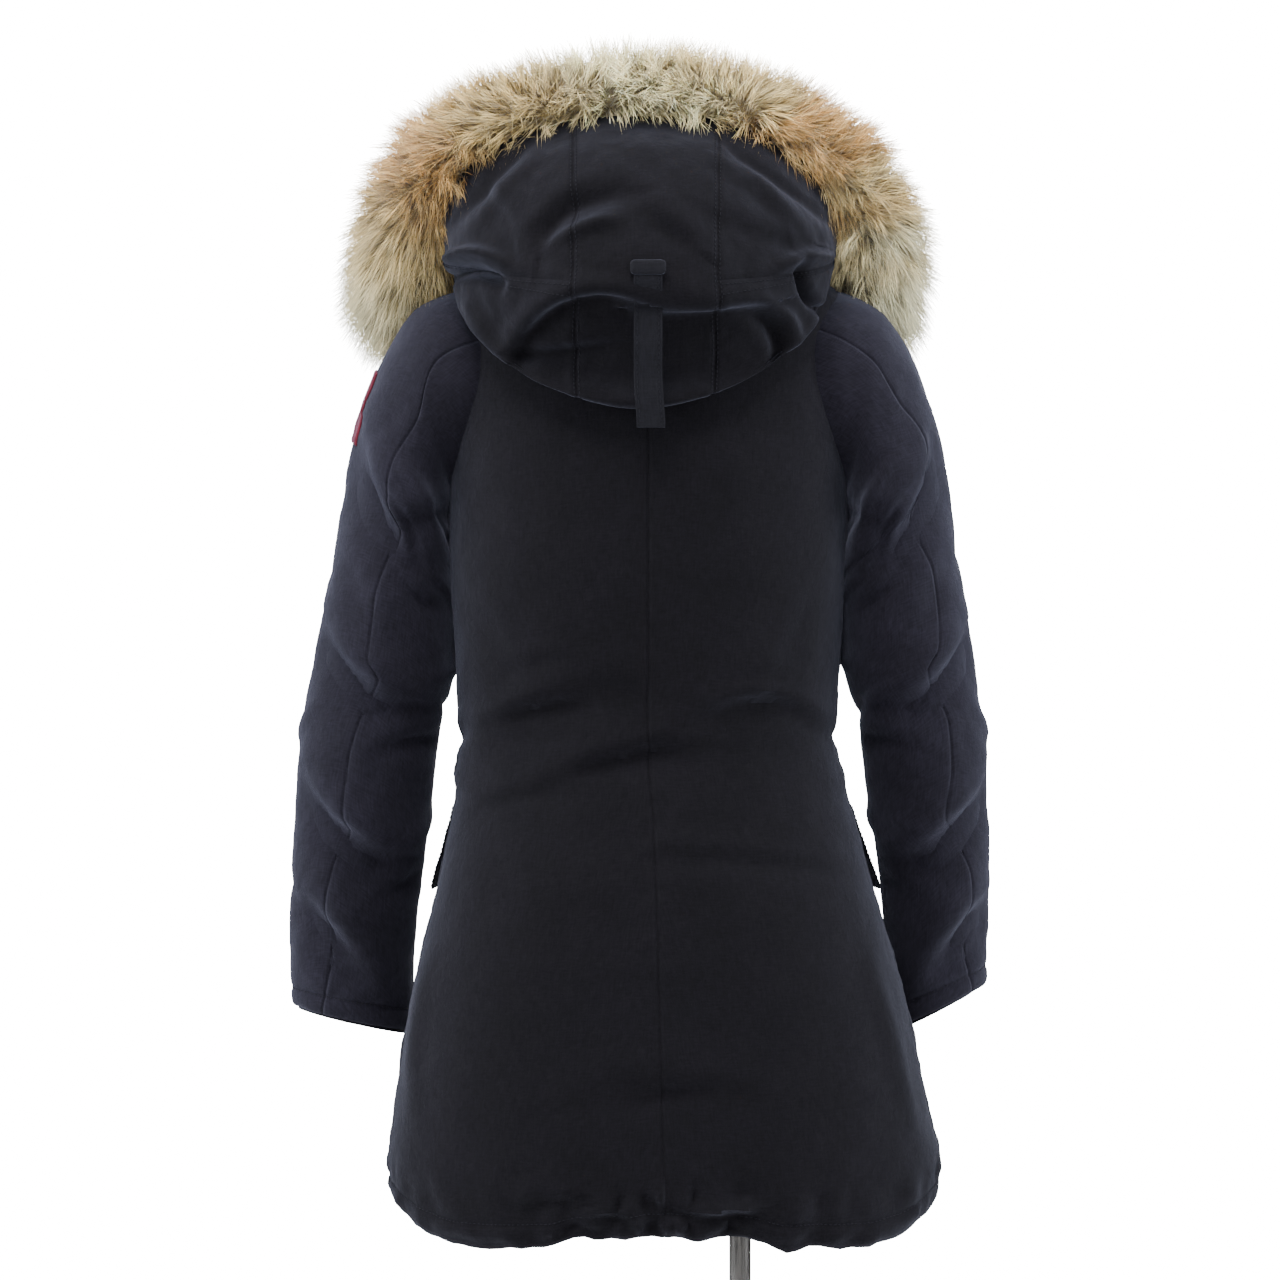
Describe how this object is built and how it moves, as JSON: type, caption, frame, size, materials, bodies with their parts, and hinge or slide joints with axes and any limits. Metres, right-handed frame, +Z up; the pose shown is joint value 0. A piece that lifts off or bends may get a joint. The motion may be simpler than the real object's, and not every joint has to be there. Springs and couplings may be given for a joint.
{
  "type": "hooded down parka with a fur ruff on a limbless dress form with a pole stand",
  "caption": "Thigh-length hooded down parka with a fur ruff, worn closed by a limbless dress form that stands on a pole and a round base plate.",
  "frame": {"origin": "on the floor, under the middle of the object's box in plan", "axes": "+Z up, -Y towards the coat's front, +X towards the wearer's left"},
  "size_m": [0.6533, 0.378, 1.6732],
  "materials": {
    "shell": "matte tightly woven cotton and polyester over down",
    "fur": "long natural fur, tan and cream with dark tips",
    "tape": "matte woven tape",
    "zip": "woven tape with moulded teeth",
    "hardware": "satin",
    "badge": "embroidered twill, plain",
    "form": "tight jersey over a moulded form",
    "steel": "satin nickel"
  },
  "bodies": {
    "root": {"stand_base": "steel", "stand_boss": "steel", "stand_pole": "steel", "stand_socket": "steel", "dress_form": "form", "front_left": "shell", "back_left": "shell", "back_right": "shell", "front_right": "shell", "sleeve_left_outer": "shell", "sleeve_left_inner": "shell", "sleeve_right_outer": "shell", "sleeve_right_inner": "shell", "cuff_facing_left": "tape", "cuff_facing_right": "tape", "collar": "shell", "zip": "zip", "zip_slider": "hardware", "zip_pull": "hardware", "pocket_left": "shell", "pocket_flap_left": "shell", "pocket_right": "shell", "pocket_flap_right": "shell", "badge": "badge", "hood_centre": "shell", "hood_left_lower": "shell", "hood_left_upper": "shell", "hood_right_lower": "shell", "hood_right_upper": "shell", "hood_strap": "tape", "hood_strap_bar": "tape", "ruff": "fur"}
  },
  "joints": []
}
